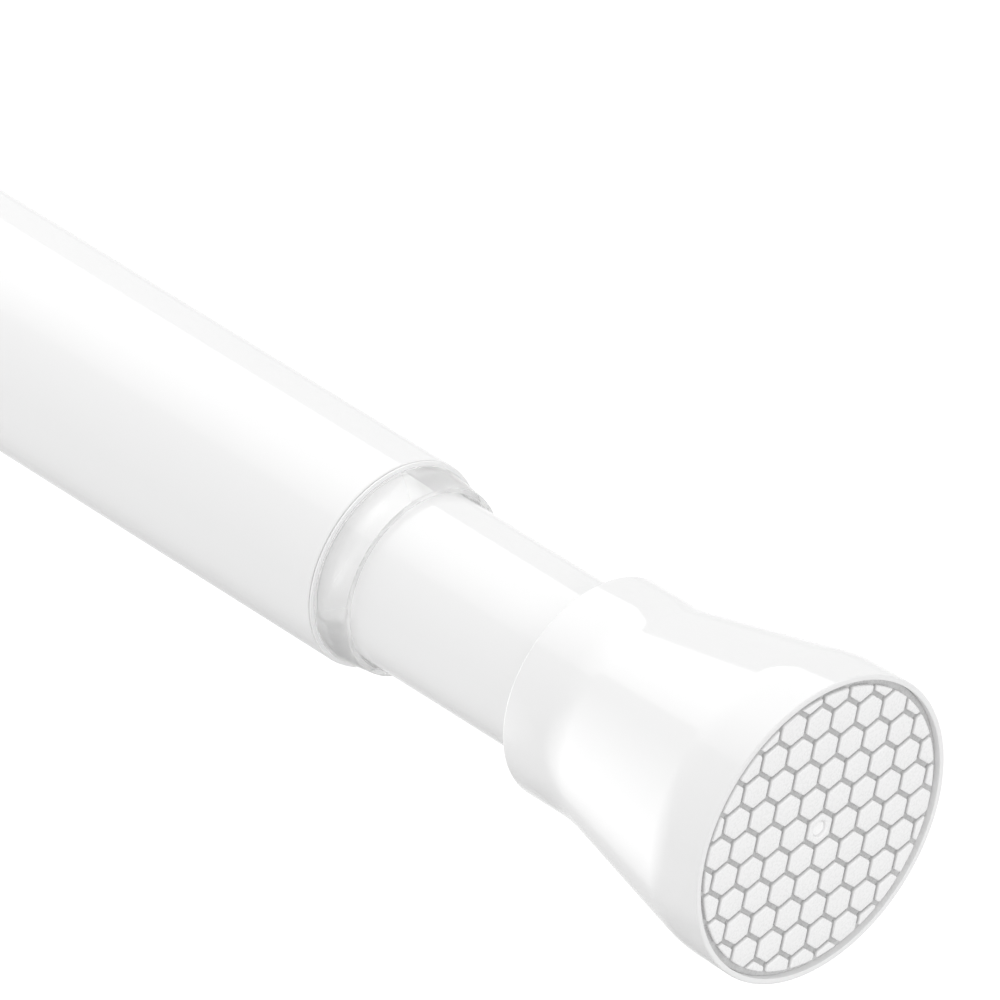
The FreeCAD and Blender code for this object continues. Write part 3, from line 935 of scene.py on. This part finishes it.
board, tree, place = new_finish("matt_pale_board")
tooth = noise(tree, place, TOOTH_SIZE)
gloss = between(tree, tooth, 0.8, 0.9)
skin = relief(tree, tooth, TOOTH_DEPTH)
distance = add(tree, "ShaderNodeVectorMath", {0: place}, operation="LENGTH").outputs["Value"]
under_rod = add(tree, "ShaderNodeMapRange", {
    "Value": distance, "From Min": DARK_REFLECTION_R, "From Max": DARK_REFLECTION_EDGE, "To Min": 1.0, "To Max": 0.0})
# painted reflection: mirror rays see the floor dark grey straight under the rod
mirrored = add(tree, "ShaderNodeLightPath").outputs["Is Glossy Ray"]
dark_reflection = add(tree, "ShaderNodeMath", {0: mirrored, 1: under_rod}, operation="MULTIPLY")
shade = tint(tree, dark_reflection, "E2E2E2", "888888")
shader = add(tree, "ShaderNodeBsdfPrincipled", {
    "Base Color": shade, "Roughness": gloss, "Specular IOR Level": 0.1, "Normal": skin})
mirrored_share = add(tree, "ShaderNodeMapRange", {
    "Value": distance, "From Min": FLOOR_NEAR, "From Max": FLOOR_FAR,
    "To Min": FLOOR_MIRRORED, "To Max": 1.0})
glow_strength = add(tree, "ShaderNodeMath", {
    0: rays_that_see_the_room(tree, mirrored_share), 1: FLOOR_GLOW}, operation="MULTIPLY")
glow = add(tree, "ShaderNodeEmission", {"Strength": glow_strength})
lit = add(tree, "ShaderNodeAddShader", {0: shader, 1: glow})
below = add(tree, "ShaderNodeNewGeometry").outputs["Backfacing"]
nothing = add(tree, "ShaderNodeBsdfTransparent")
both = add(tree, "ShaderNodeMixShader", {0: below, 1: lit, 2: nothing})
add(tree, "ShaderNodeOutputMaterial", {"Surface": both})

deselect_all()
bpy.ops.mesh.primitive_plane_add(
    size=FLOOR_SIZE, location=(rod_length / 2 * MM, 0, -FLOOR_BELOW))
floor = bpy.context.object
floor.name = "floor"
floor.data.materials.append(board)
print(f"floor {FLOOR_BELOW:.1f} m under the rod")

# %% [markdown]
# ## Room
#
# The world is the pale room. It is brighter near the horizon, where the walls are, than overhead,
# and brighter on the side that the visible pad faces. Camera, mirror and clear rays see it white.

# %% Room
WALL_LIGHT = 0.91
CEILING_LIGHT = 0.64
SIDE_LIGHT = 0.336       # times BRIGHT_SIDE, more on that side and less across from it
BRIGHT_SIDE = (1.4, -0.27, 0)
ROOM_SEEN = 1.0

world = bpy.data.worlds.new("pale_room")
bpy.context.scene.world = world
world.use_nodes = True
air = world.node_tree
air.nodes.clear()
direction = add(air, "ShaderNodeTexCoord").outputs["Generated"]
height = add(air, "ShaderNodeSeparateXYZ", {0: direction}).outputs["Z"]
upwards = add(air, "ShaderNodeMapRange", {
    "Value": height, "To Min": WALL_LIGHT, "To Max": CEILING_LIGHT})
sideways = add(air, "ShaderNodeVectorMath", {0: direction, 1: BRIGHT_SIDE},
               operation="DOT_PRODUCT").outputs["Value"]
room_light = add(air, "ShaderNodeMath", {0: sideways, 1: SIDE_LIGHT, 2: upwards},
                 operation="MULTIPLY_ADD")
room_strength = add(air, "ShaderNodeMapRange", {
    "Value": rays_that_see_the_room(air, 1), "To Min": room_light, "To Max": ROOM_SEEN})
room = add(air, "ShaderNodeBackground", {"Color": linear("FFFFFF"), "Strength": room_strength})
add(air, "ShaderNodeOutputWorld", {"Surface": room})
print(f"walls {WALL_LIGHT}, ceiling {CEILING_LIGHT}")

# %% [markdown]
# ## Lamps
#
# A wide softbox hangs over the rod and gives the white upper halves. The gloss shows its two edges
# that run along the rod, the far one as a sharp border and the near one, towards which it fades, as
# a soft one. A second, soft lamp stands off the far end and fills the hollow flare of the cap. Both
# are given in metres from the middle of the visible rim. The side lamp stands so near the far cap
# and its pad that it would burn them out, so these two are kept out of its light.

# %% Softbox overhead
SOFTBOX_HEIGHT = 1.5
SOFTBOX_X = (-2.85, -0.45)
SOFTBOX_Y = (-1.08, 1.95)
SOFTBOX_FULL_Y = 0.0     # it fades from here to its near edge
SOFTBOX_EDGE = 0.3       # of its full light, at its near edge
SOFTBOX_RADIANCE = 1.22

LAMP_SPREAD = 4.0        # watts for one square metre of lamp to shine at a strength of 1
rim_x = rod_length * MM


def soft_lamp(name, size, place, radiance, rotation=(0, 0, 0)):
    """A rectangular lamp that the camera doesn't see, and its cleared node tree."""
    bpy.ops.object.light_add(type="AREA", location=place, rotation=rotation)
    lamp = bpy.context.object
    lamp.name = name
    lamp.visible_camera = False
    lamp.data.shape = "RECTANGLE"
    lamp.data.size, lamp.data.size_y = size
    lamp.data.energy = radiance * LAMP_SPREAD * size[0] * size[1]
    lamp.data.use_nodes = True
    lamp.data.node_tree.nodes.clear()
    print(f"{name} {size[0]:.2f} x {size[1]:.2f} m, {lamp.data.energy:.0f} W")
    return lamp.data.node_tree


cloth = soft_lamp(
    "softbox", (SOFTBOX_X[1] - SOFTBOX_X[0], SOFTBOX_Y[1] - SOFTBOX_Y[0]),
    (rim_x + sum(SOFTBOX_X) / 2, sum(SOFTBOX_Y) / 2, SOFTBOX_HEIGHT), SOFTBOX_RADIANCE)
spot = add(cloth, "ShaderNodeNewGeometry").outputs["Position"]
across = add(cloth, "ShaderNodeSeparateXYZ", {0: spot}).outputs["Y"]
fade = add(cloth, "ShaderNodeMapRange", {
    "Value": across, "From Min": SOFTBOX_Y[0], "From Max": SOFTBOX_FULL_Y,
    "To Min": SOFTBOX_EDGE, "To Max": 1.0})
shine = add(cloth, "ShaderNodeEmission", {"Strength": fade})
add(cloth, "ShaderNodeOutputLight", {"Surface": shine})

# %% Side lamp
SIDE_AWAY = 1.2          # from the rim, along the rod
SIDE_Y = (-1.38, 0.90)
SIDE_Z = (-1.20, 0.50)
SIDE_FULL = 0.4          # full light up to this share of the way to its edge
SIDE_RADIANCE = 1.6

side_size = (SIDE_Z[1] - SIDE_Z[0], SIDE_Y[1] - SIDE_Y[0])
side_place = (rim_x - SIDE_AWAY, sum(SIDE_Y) / 2, sum(SIDE_Z) / 2)
cloth = soft_lamp("side_lamp", side_size, side_place, SIDE_RADIANCE, rotation=(0, -QUARTER, 0))
side_lamp = bpy.context.object
spot = add(cloth, "ShaderNodeNewGeometry").outputs["Position"]
offset = add(cloth, "ShaderNodeVectorMath", {0: spot, 1: side_place}, operation="SUBTRACT")
share = add(cloth, "ShaderNodeVectorMath", {
    0: offset, 1: (0, 2 / side_size[1], 2 / side_size[0])}, operation="MULTIPLY")
distance = add(cloth, "ShaderNodeVectorMath", {0: share}, operation="LENGTH").outputs["Value"]
fade = add(cloth, "ShaderNodeMapRange", {
    "Value": distance, "From Min": SIDE_FULL, "From Max": 1.0, "To Min": 1.0, "To Max": 0.0})
shine = add(cloth, "ShaderNodeEmission", {"Strength": fade})
add(cloth, "ShaderNodeOutputLight", {"Surface": shine})

out_of_light = bpy.data.collections.new("out_of_the_side_light")
for piece in (outer_cap, outer_pad):
    out_of_light.objects.link(piece)
for member in out_of_light.collection_objects:
    member.light_linking.link_state = "EXCLUDE"
side_lamp.light_linking.receiver_collection = out_of_light

# %% [markdown]
# ## Camera
#
# The two visible circles of the cap and the two edges of the tubes fix the camera: they give where
# it looks from, how far it stands and how long its lens is. Its place is written as where it sees
# the middle of the visible cap's rim: so far to the right, down and ahead.

# %% Camera
AZIMUTH = math.radians(47.138)
ELEVATION = math.radians(34.715)
SENSOR = 36.0
LENS = 524.5
RIM_RIGHT = 41.1196      # of the rim's middle from the camera, in mm
RIM_DOWN = 42.2315
RIM_AHEAD = 1863.7367

right = Vector((math.cos(AZIMUTH), math.sin(AZIMUTH), 0))
ahead = Vector((-math.sin(AZIMUTH) * math.cos(ELEVATION),
                math.cos(AZIMUTH) * math.cos(ELEVATION), -math.sin(ELEVATION)))
up = right.cross(ahead)
rim_middle = Vector((rod_length, 0, 0))
eye = rim_middle - (RIM_RIGHT * right - RIM_DOWN * up + RIM_AHEAD * ahead)
bpy.ops.object.camera_add(location=eye * MM)
camera = bpy.context.object
camera.name = "camera"
camera.rotation_mode = "QUATERNION"
camera.rotation_quaternion = ahead.to_track_quat("-Z", "Y")
camera.data.sensor_width = SENSOR
camera.data.lens = LENS
bpy.context.scene.camera = camera
bpy.context.scene.view_settings.view_transform = "Standard"
print("camera at", [round(c, 3) for c in camera.location])

# %% [markdown]
# ## Finish
#
# The scene is brought up to date once more. The visual model has to stay in the CAD model's
# box.

# %% Update the scene
bpy.context.view_layer.update()
